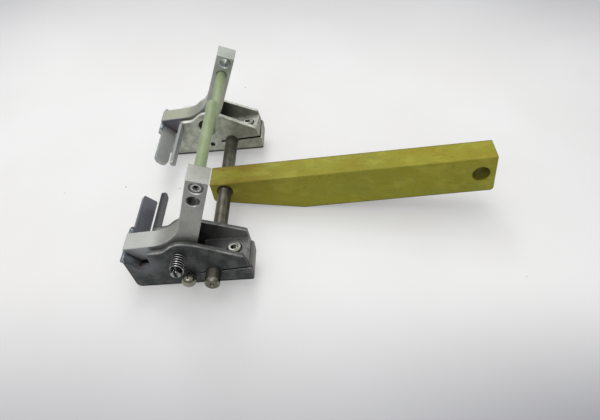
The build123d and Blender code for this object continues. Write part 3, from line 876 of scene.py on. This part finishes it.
# %% Screw heads
def screw_head(middle, across, upwards, socket_mm, ring_mm, edge_colour):
    def build(start):
        off = start.node(
            "ShaderNodeVectorMath", {"operation": "SUBTRACT"}, {0: place(start), 1: tuple(middle)}
        )
        aside, up = (
            start.node(
                "ShaderNodeVectorMath", {"operation": "DOT_PRODUCT"}, {0: off, 1: tuple(way)}, "Value"
            )
            for way in (across, upwards)
        )
        away = start.maths("SQRT", aside * aside + up * up)
        satin = clouds(start, 0.6, 3.0)
        edge = away.ramp((ring_mm + 0.25) * MM, (ring_mm + 0.35) * MM)
        oil_and_shade = away.ramp((ring_mm - 0.1) * MM, ring_mm * MM) * (1.0 - edge)
        socket = 1.0 - away.ramp((socket_mm - 0.15) * MM, (socket_mm + 0.1) * MM)
        glint = away.ramp((socket_mm - 0.3) * MM, (socket_mm - 0.1) * MM) * socket
        glint = glint * aside.ramp(0.3 * MM, 0.6 * MM) * (1.0 - up.ramp(-0.9 * MM, -0.6 * MM))
        base = layered(
            start,
            blend_colours(start, satin.ramp(0.4, 0.7), colour(186, 187, 180), colour(220, 221, 214)),
            (edge * 0.85, edge_colour),
            # Painted shade: the dark ring where the head meets its recess, and the black socket with its painted
            # glint.
            (oil_and_shade * 0.9, colour(30, 31, 30)),
            (socket, colour(8, 8, 8)),
            (glint, colour(230, 230, 226)),
        )
        return {
            "Base Color": base,
            "Metallic": 0.7 - 0.7 * socket,
            "Roughness": 0.3 + 0.1 * satin + 0.4 * socket,
            "Normal": bump(start, satin, 0.1, 0.02),
        }

    return build


x_way, y_way, z_way = Matrix.Identity(3)
for side in outward:
    rod_head = screw_head(rod[side], x_way, z_way, 1.5, 2.45, colour(150, 152, 146))
    finish_of[side + "_rod_screw"] = finish(side + "_rod_screw_head", rod_head)
    screw_middle = middle_of(side + "_clamp_screw")
    clamp_head = screw_head(screw_middle, up_the_clamp, y_way, 1.45, 2.3, colour(120, 120, 106))
    finish_of[side + "_clamp_screw"] = finish(side + "_clamp_screw_head", clamp_head)


# %% Pins and washers
def turned(dark, pale, roughness, metallic=0.9, rim_highlight=None, dark_side=False, slot_x=None):
    """Turned bar; the round side can get painted shade, and so can the end beside a slot at slot_x."""
    rim_highlight = rim_highlight or pale

    def build(start):
        rounded, rim = edges(start, 0.3)
        rings = clouds(start, 0.5, 3.0, (0.06, 1.0, 0.06))
        deep = sheltered(start, 1.5, True, 0.22, 0.6)
        oil_and_shade = clouds(start, 6.0, 4.0)
        base = blend_colours(start, oil_and_shade.ramp(0.3, 0.7), dark, pale)
        if dark_side:
            round_side = 1.0 - facing(start, "Y").size().ramp(0.3, 0.8)
            base = blend_colours(start, round_side, base, colour(20, 20, 19))
        # Painted highlight on the rims.
        base = layered(start, base, (rings.ramp(0.5, 0.8) * 0.35, pale), (rim * 0.75, rim_highlight))
        if slot_x is not None:
            by_slot = 1.0 - (axis(start, "X") - slot_x).size().ramp(0.9 * MM, 1.3 * MM)
            by_slot = by_slot * (-1.0 * facing(start, "Y")).ramp(0.8, 0.9)
            base = blend_colours(start, by_slot * 0.8, base, colour(48, 48, 48))
        # Painted shade in hollows and narrow joints.
        base = layered(
            start,
            base,
            (deep * 0.9, colour(16, 16, 15)),
            (sheltered(start, 0.8, False) * 0.7, colour(20, 20, 18)),
        )
        return {
            "Base Color": base,
            "Metallic": metallic,
            "Roughness": roughness + 0.14 * oil_and_shade - 0.08 * rim,
            "Normal": bump(start, rings, 0.2, 0.03, rounded),
        }

    return build


pin_steel = {
    "dark": colour(150, 150, 147),
    "pale": colour(206, 206, 202),
    "roughness": 0.2,
    "rim_highlight": colour(255, 255, 252),
    "dark_side": True,
}
oiled_pin = finish("oiled_pin", turned(**pin_steel))
slotted_pin = finish("slotted_pin", turned(**pin_steel, slot_x=hinge["front"].x))
black_pin = finish("black_pin", turned(colour(24, 24, 25), colour(44, 44, 45), 0.4, 0.6))
black_bush = finish("black_bush", turned(colour(58, 50, 34), colour(92, 82, 58), 0.5, 0.6))
plated_washer = finish("plated_screw", turned(colour(112, 112, 98), colour(160, 160, 144), 0.2))
yellowed_nickel = finish("yellowed_nickel", turned(colour(128, 126, 110), colour(160, 158, 142), 0.13))

# %% [markdown]
# ## The thumb rods
# The rods are pale green laminate: glass cloth wound up in epoxy. The resin is slightly cloudy,
# the cloth shows as short pale threads along the rod, and fingers have left a faint shine. The
# cloth could be a woven image wrapped round the rod, but only its threads along the rod show
# through the resin, and one cloud drawn out along Y gives those.

# %% Rod finish
def laminate(start):
    threads = clouds(start, 0.45, 3.0, (1.0, 0.1, 1.0))
    milk = clouds(start, 5.0, 4.0, (1.0, 0.4, 1.0))
    dirt = clouds(start, 2.0, 5.0)
    base = layered(
        start,
        blend_colours(start, milk.ramp(0.35, 0.65), colour(138, 156, 112), colour(156, 168, 134)),
        (threads.ramp(0.55, 0.8) * 0.4, colour(182, 192, 166)),
        (dirt.ramp(0.64, 0.76) * 0.35, colour(112, 124, 86)),
    )
    return {
        "Base Color": base,
        "Roughness": 0.44 + 0.16 * milk,
        "Normal": bump(start, threads, 0.15, 0.04),
    }


rod_laminate = finish("rod_laminate", laminate)

# %% [markdown]
# ## The finishes go on the solids
# A solid keeps its mesh and only its material slot is filled. The finishes made for one piece are
# in the list already; the ones that several pieces share are added here by name.

# %% Assign the finishes
finish_of["handle_bush"] = black_bush
finish_of["handle_set_screw"] = oiled_pin
finish_of["front_pivot_pin"] = slotted_pin
finish_of["rear_pivot_pin"] = black_pin
clamp_pieces = {
    "_lever_set_screw": oiled_pin,
    "_pivot_spacers": plated_washer,
    "_thumb_rod": rod_laminate,
    "_anchor_pin": yellowed_nickel,
    "_spring": spring_steel,
}
for side in outward:
    for piece, material in clamp_pieces.items():
        finish_of[side + piece] = material
for name, material in finish_of.items():
    nodes[name].material_slots[0].material = material
print("solids without a finish:", sorted(set(nodes) - set(finish_of)))

# %% [markdown]
# ## The springs
# A torsion spring is one wire: a straight leg that hooks behind the anchor pin, nearly six close
# turns round the pivot pin, and a short leg bent into the pin's slot. The line down the wire's
# middle is a rule, so it is worked out point by point. The straight leg has to touch the coil's
# circle without a kink, which a sine gives: the sine of the angle between the leg and the line from
# pin to pin is the coil's radius plus the leg's offset, divided by the distance of the pins.

# %% The line down the middle of a spring's wire
coil_radius = 3.2 * MM
wire_radius = 0.39 * MM
coil_turns = 5.81
coil_rise = 1.42 * MM  # along the pin, for each turn
leg_offset = 2.0 * MM  # from the anchor pin's middle line
leg_beyond = 2.5 * MM  # past the anchor pin
slot_leg = (1.0 * MM, 3.2 * MM, 5.4 * MM)  # points along the leg in the slot
steps = 210


def in_plane(spot):
    """The X and Z of a point: every spring is coiled round a line along Y."""
    return Vector((spot.x, spot.z))


def spring_line(side):
    centre = in_plane(hinge[side])
    anchor = in_plane(middle_of(side + "_anchor_pin"))
    inner_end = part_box(side + "_spring")[1 if side == "front" else 0].y
    start_y = inner_end + outward[side] * wire_radius
    ahead = anchor - centre
    sine = (coil_radius + leg_offset) / ahead.length
    cosine = math.sqrt(1 - sine * sine)
    ahead.normalize()
    normal = Vector((ahead.y * cosine + ahead.x * sine, -ahead.x * cosine + ahead.y * sine))
    along = Vector((-normal.y, normal.x))
    leg_end = anchor - normal * leg_offset + along * leg_beyond
    line = [Vector((leg_end.x, start_y, leg_end.y))]
    for step in range(steps + 1):
        turns = coil_turns * step / steps
        angle = 2 * math.pi * turns
        spot = centre + coil_radius * (normal * math.cos(angle) - along * math.sin(angle))
        line.append(Vector((spot.x, start_y + outward[side] * coil_rise * turns, spot.y)))
    coil_end = line[-1]
    inwards = (Vector((centre.x, coil_end.y, centre.y)) - coil_end).normalized()
    return line + [coil_end + inwards * reach for reach in slot_leg]


print("points on a spring's line:", len(spring_line("front")))

# %% [markdown]
# ## Round wire from a tree
# A small Geometry Nodes tree draws the round wire along the line. The inputs of the tree name the
# wire's radius and the spacing of its rings, so the same tree could draw any other wire. A skin
# modifier or a bevelled curve could do it too, but a tree keeps its sizes where they can be read. Its
# result is then stored as a plain mesh, because a piece is exported as a mesh.

# %% Words for geometry trees
def input_socket(tree, name, kind, default=None):
    socket = tree.interface.new_socket(name, in_out="INPUT", socket_type=kind)
    if default is not None:
        socket.default_value = default
    return socket.identifier


def linked(tree, kind, settings=None, inputs=None, output=0):
    """Adds a node to a geometry tree and returns one of its outputs."""
    made = tree.nodes.new(kind)
    for name, value in (settings or {}).items():
        setattr(made, name, value)
    for name, value in (inputs or {}).items():
        if isinstance(value, bpy.types.NodeSocket):
            tree.links.new(value, made.inputs[name])
        else:
            made.inputs[name].default_value = value
    return made.outputs[output]


def new_tree(name):
    tree = bpy.data.node_groups.new(name, "GeometryNodeTree")
    input_socket(tree, "Geometry", "NodeSocketGeometry")
    tree.interface.new_socket("Geometry", in_out="OUTPUT", socket_type="NodeSocketGeometry")
    return tree


def swept(tree, curve, radius, corners):
    """Sweeps a circle along a curve and closes both ends."""
    ring = linked(
        tree, "GeometryNodeCurvePrimitiveCircle", inputs={"Resolution": corners, "Radius": radius}
    )
    return linked(
        tree,
        "GeometryNodeCurveToMesh",
        inputs={"Curve": curve, "Profile Curve": ring, "Fill Caps": True},
    )


def close_tree(tree, geometry, material):
    """Every tree ends the same way: real geometry, smooth, with its material."""
    real = linked(tree, "GeometryNodeRealizeInstances", inputs={"Geometry": geometry})
    smooth = linked(tree, "GeometryNodeSetShadeSmooth", inputs={"Geometry": real})
    done = linked(tree, "GeometryNodeSetMaterial", inputs={"Geometry": smooth, "Material": material})
    group_out = tree.nodes.new("NodeGroupOutput")
    tree.links.new(done, group_out.inputs[0])


# %% A tree that draws round wire along a line
wire_tree = new_tree("wire_along_a_line")
wire_inputs = {
    "radius": input_socket(wire_tree, "Wire Radius", "NodeSocketFloat", wire_radius),
    "step": input_socket(wire_tree, "Ring Spacing", "NodeSocketFloat", 0.35 * MM),
}
given = wire_tree.nodes.new("NodeGroupInput").outputs
curve = linked(wire_tree, "GeometryNodeMeshToCurve", inputs={"Mesh": given["Geometry"]})
even = linked(
    wire_tree,
    "GeometryNodeResampleCurve",
    {"mode": "LENGTH"},
    {"Curve": curve, "Length": given["Ring Spacing"]},
)
wire = swept(wire_tree, even, given["Wire Radius"], 12)
close_tree(wire_tree, wire, spring_steel)
print("wire tree inputs:", wire_inputs)


# %% Bake a tree on a line into a plain piece
def line_object(name, points):
    mesh = bpy.data.meshes.new(name)
    mesh.from_pydata([tuple(p) for p in points], [(i, i + 1) for i in range(len(points) - 1)], [])
    made = bpy.data.objects.new(name, mesh)
    bpy.context.scene.collection.objects.link(made)
    return made


def bake(made, tree, values):
    """Runs a tree on an object and leaves its result as a plain mesh."""
    modifier = made.modifiers.new("grow", "NODES")
    modifier.node_group = tree
    for identifier, value in values.items():
        modifier[identifier] = value
    shown = made.evaluated_get(bpy.context.evaluated_depsgraph_get())
    grown = bpy.data.meshes.new_from_object(shown)
    made.modifiers.remove(modifier)
    made.data = grown
    print(made.name, "faces:", len(grown.polygons))
    return made


# %% [markdown]
# ## Putting the springs on
# When a lever opens, its pin turns and takes the spring's outer leg with it, while the other leg
# stays behind the anchor pin, and a spring that followed only the clamp would be cut by the pin.
# Here each spring's wire is drawn where it sits and kept as a plain piece in place of the solid
# spring; the places of its first and last turns are worked out but not used. The rear spring is
# blackened steel.

# %% Put the springs on
end_turn = 1.5 * wire_radius
for side, out_way in outward.items():
    wire_path = spring_line(side)
    first_turn = hinge[side].copy()
    first_turn.y = wire_path[0].y + out_way * end_turn
    last_turn = hinge[side].copy()
    last_turn.y = wire_path[-1].y - out_way * end_turn
    spring = bake(line_object(side + "_spring_wire", wire_path), wire_tree, {})
    side + "_clamp"
    side + "_lever_arm"
    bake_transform(spring)
    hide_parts(side + "_spring")
    if side == "rear":
        spring.material_slots[0].material = black_pin

# %% [markdown]
# ## The lumps of brazing
# Where a sloped finger enters its clamp, the brazing has run out and set as a small shiny lump on
# the upper edge. A lump has no drawing, and it could be sculpted by hand. Here it is a short thick
# line that swells in the middle and is dented by noise, because one tree then gives four lumps that
# are alike but not the same. The tree sweeps a circle along a line, swells it by a sine along the
# way, and pushes each point in or out by noise with a fixed seed. The front lumps are duller.

# %% Brazing finishes
def brazed(bright, dull):
    def build(start):
        skin = clouds(start, 0.8, 4.0)
        tarnish = clouds(start, 1.8, 4.0)
        return {
            "Base Color": blend_colours(start, tarnish.ramp(0.4, 0.65), bright, dull),
            "Metallic": 0.5,
            "Roughness": 0.2 + 0.25 * tarnish,
            "Normal": bump(start, skin, 0.4, 0.1),
        }

    return build


brazing = finish("brazing", brazed(colour(186, 200, 206), colour(140, 146, 146)))
dull_brazing = finish("dull_brazing", brazed(colour(142, 150, 156), colour(92, 95, 96)))

# %% A tree that draws a lump along a line
lump_tree = new_tree("lump_along_a_line")
lump_inputs = {
    "radius": input_socket(lump_tree, "Lump Radius", "NodeSocketFloat", 1.15 * MM),
    "dents": input_socket(lump_tree, "Dents", "NodeSocketFloat", 0.5 * MM),
    "seed": input_socket(lump_tree, "Seed", "NodeSocketFloat", 3.0),
}


def lump_maths(operation, first, second=0.0):
    return linked(lump_tree, "ShaderNodeMath", {"operation": operation}, {0: first, 1: second})


given = lump_tree.nodes.new("NodeGroupInput").outputs
line = linked(lump_tree, "GeometryNodeMeshToCurve", inputs={"Mesh": given["Geometry"]})
even = linked(lump_tree, "GeometryNodeResampleCurve", {"mode": "COUNT"}, {"Curve": line, "Count": 18})
share = linked(lump_tree, "GeometryNodeSplineParameter")
swell = lump_maths("POWER", lump_maths("SINE", lump_maths("MULTIPLY", share, math.pi)), 0.5)
swollen = linked(lump_tree, "GeometryNodeSetCurveRadius", inputs={"Curve": even, "Radius": swell})
lump = swept(lump_tree, swollen, given["Lump Radius"], 16)
dent = linked(
    lump_tree,
    "ShaderNodeTexNoise",
    {"noise_dimensions": "4D"},
    {"W": given["Seed"], "Scale": 700.0, "Detail": 2.0},
)
depth = lump_maths("MULTIPLY", lump_maths("SUBTRACT", dent, 0.5), given["Dents"])
offset = linked(
    lump_tree,
    "ShaderNodeVectorMath",
    {"operation": "SCALE"},
    {0: linked(lump_tree, "GeometryNodeInputNormal"), "Scale": depth},
)
dented = linked(lump_tree, "GeometryNodeSetPosition", inputs={"Geometry": lump, "Offset": offset})
close_tree(lump_tree, dented, brazing)
print("lump tree inputs:", lump_inputs)

# %% Four lumps, two on each sloped finger
finger_angle = math.radians(-38.16)
slope = Vector((math.cos(finger_angle), 0.0, math.sin(finger_angle)))
half_wall = 1.4 * MM
lump_start = Vector((1.5, -2.4, -0.6)) * MM  # from the finger's upper end, at the wall's middle
lump_span = Vector((0.5 * slope.x, 5.0, 0.5 * slope.z)) * MM  # across the finger
for side, seed in (("front", 3.0), ("rear", 8.0)):
    finger_low, finger_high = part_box(side + "_sloped_finger")
    body_low, body_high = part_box(side + "_clamp_body")
    for end, wall_y in (("low", body_low.y + half_wall), ("high", body_high.y - half_wall)):
        first = Vector((finger_low.x, wall_y, finger_high.z)) + lump_start
        lump_line = line_object(f"{side}_brazing_{end}", [first, first + lump_span])
        lump_piece = bake(lump_line, lump_tree, {lump_inputs["seed"]: seed})
        if side == "front":
            lump_piece.material_slots[0].material = dull_brazing
        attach(lump_piece, side + "_clamp")
        seed += 1.0

# %% [markdown]
# ## The bead in the front notch
# On the front clamp the braze also fills the ledge beside the sloped finger. It is one long bead
# from the same tree, thicker and with shallower dents, sunk into the casting so that only its
# upper side shows. It is paler higher up, near the jaw, and darker lower down where it runs out.

# %% Bead finish
def bead_skin(start):
    skin = clouds(start, 1.2, 4.0)
    down = 1.0 - axis(start, "Z").ramp(18.3 * MM, 21.3 * MM)
    base = layered(
        start,
        blend_colours(start, down, colour(100, 107, 112), colour(54, 57, 61)),
        (skin.ramp(0.45, 0.7) * 0.3, colour(84, 88, 92)),
        (scorch(start, "front"), scale_brown),
    )
    return {
        "Base Color": base,
        "Metallic": 0.3,
        "Roughness": 0.5 + 0.12 * skin,
        "Normal": bump(start, skin, 0.3, 0.06),
    }


braze_bead = finish("braze_bead", bead_skin)

# %% The bead
finger_low, finger_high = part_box("front_sloped_finger")
wall_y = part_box("front_clamp_body")[0].y
jaw_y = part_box("front_lever")[0].y
ledge = Vector((finger_low.x + 1.9 * MM, (wall_y + jaw_y) / 2 + 0.05 * MM, finger_high.z - 0.4 * MM))
sink = Vector((-0.62, 0.0, -0.79)) * 0.95 * MM  # square to the finger, into the casting
bead_ends = (0.2 * MM, 8.4 * MM)  # down the finger's slope
bead_sizes = {
    lump_inputs["radius"]: 2.0 * MM,
    lump_inputs["dents"]: 0.25 * MM,
    lump_inputs["seed"]: 5.0,
}
bead_line = line_object("front_braze_bead", [ledge + sink + slope * end for end in bead_ends])
bead = bake(bead_line, lump_tree, bead_sizes)
bead.material_slots[0].material = braze_bead
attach(bead, "front_clamp")

# %% [markdown]
# ## The bench
# The fixture lies on a pale grey bench. A bench in a lit room gets light from all sides, so its
# shadows are never black. A few lamps cannot give that, so the bench's own colour is split: a
# third of it glows as painted light and the rest takes the lamps' light. It is also painted greyer
# away from the fixture, a painted fall-off of light as on a table where the lamp hangs over its
# middle, and a few crumbs lie on it.

# %% Bench finish
glow = 0.36
crumb_spots = ((-86.7, 11.9, 0.0), (-53.5, 126.7, 0.0), (-120.5, 12.5, 0.0))


def bench_top(start):
    cloud = clouds(start, 120.0, 3.0)
    specks = cells(start, 26.0)
    crumbs = 0.0
    for spot in crumb_spots:
        crumbs = crumbs + near(start, Vector(spot) * MM, 0.25, 0.65)
    to_right = axis(start, "X")
    to_back = axis(start, "Y")
    front = (-1.0 * to_back).ramp(0.05, 0.19)
    front_right = front * to_right.ramp(-0.02, 0.16)
    back = to_back.ramp(0.12, 0.36)
    right_end = to_right.ramp(0.10, 0.36)
    left_end = (-1.0 * to_right).ramp(0.2, 0.36)
    fade = front * 0.85 + front_right * 0.55 + back * 0.42 + right_end * 0.4 + left_end * 0.35
    base = layered(
        start,
        blend_colours(start, cloud.ramp(0.3, 0.7), colour(235, 234, 233), colour(239, 239, 239)),
        (fade, colour(150, 151, 158)),
        ((1.0 - specks.ramp(0.012, 0.03)) * 0.3, colour(160, 158, 155)),
        (crumbs * 0.75, colour(96, 92, 88)),
    )
    return {
        "Base Color": blend_colours(start, glow, base, colour(0, 0, 0)),
        "Roughness": 0.5,
        "Specular IOR Level": 0.3,
        "Emission Color": base,
        "Emission Strength": glow,
    }


# %% Bench
half = 1.6
corners = [(-half, -half, 0), (half, -half, 0), (half, half, 0), (-half, half, 0)]
bench_mesh = bpy.data.meshes.new("bench")
bench_mesh.from_pydata(corners, [], [(0, 1, 2, 3)])
bench = bpy.data.objects.new("bench", bench_mesh)
bench.data.materials.append(finish("bench_top", bench_top))
bpy.context.scene.collection.objects.link(bench)

# %% [markdown]
# ## The lamps
# A large soft panel hangs above and a little behind the fixture, and gives most of the light. Two
# short tubes further back draw the narrow bright lines on the metal. A small lamp at the right and
# a low panel in front keep the sides that face them from going black. A panorama of a room could
# do all this at once, but a lamp can be moved and dimmed by itself. Soft lamps give soft shadows,
# and the strengths are set so that a colour renders about as it is written.

# %% Lamps
def soft_lamp(name, where, aim, size, watts):
    lamp = bpy.data.lights.new(name, "AREA")
    lamp.shape = "RECTANGLE"
    lamp.size, lamp.size_y = size
    lamp.energy = watts
    made = bpy.data.objects.new(name, lamp)
    made.location = where
    made.rotation_euler = (Vector(aim) - Vector(where)).to_track_quat("-Z", "Y").to_euler()
    bpy.context.scene.collection.objects.link(made)
    print(name, "watts:", watts)


bench_middle = (0.0, 0.0, 0.0)
lamps = (
    ("ceiling_panel", (-0.32, 0.32, 1.25), bench_middle, (1.3, 1.0), 6.5),
    ("bright_tube", (-0.33, 0.66, 1.02), bench_middle, (0.34, 0.12), 1.3),
    ("far_tube", (-0.20, 0.93, 0.90), bench_middle, (0.3, 0.12), 1.2),
    ("side_lamp", (0.62, 0.7, 0.34), (-0.03, 0.0, 0.02), (0.25, 0.2), 0.6),
    ("front_panel", (-0.25, -0.75, 0.75), (-0.03, 0.0, 0.0), (0.7, 0.4), 1.9),
)
for name, where, aim, size, watts in lamps:
    soft_lamp(name, where, aim, size, watts)

# %% [markdown]
# ## The room
# Metal shows what is round it, so the room matters more here than on the bench. The world is dark
# at the horizon and pale overhead, which gives the round bars their dark sides.

# %% The room
horizon_grey = (0.08, 0.08, 0.08, 1.0)
overhead_grey = (0.60, 0.60, 0.60, 1.0)
world = bpy.data.worlds.new("room")
world.use_nodes = True
room = Signal(world.node_tree)
view_way = room.node("ShaderNodeTexCoord", output="Generated")
overhead = part_of(room, view_way, "Z").ramp(-0.1, 0.9)
sky = blend_colours(room, overhead, horizon_grey, overhead_grey)
background = world.node_tree.nodes["Background"]
world.node_tree.links.new(sky.output, background.inputs["Color"])
bpy.context.scene.world = world
print("room: dark at the horizon, pale overhead")
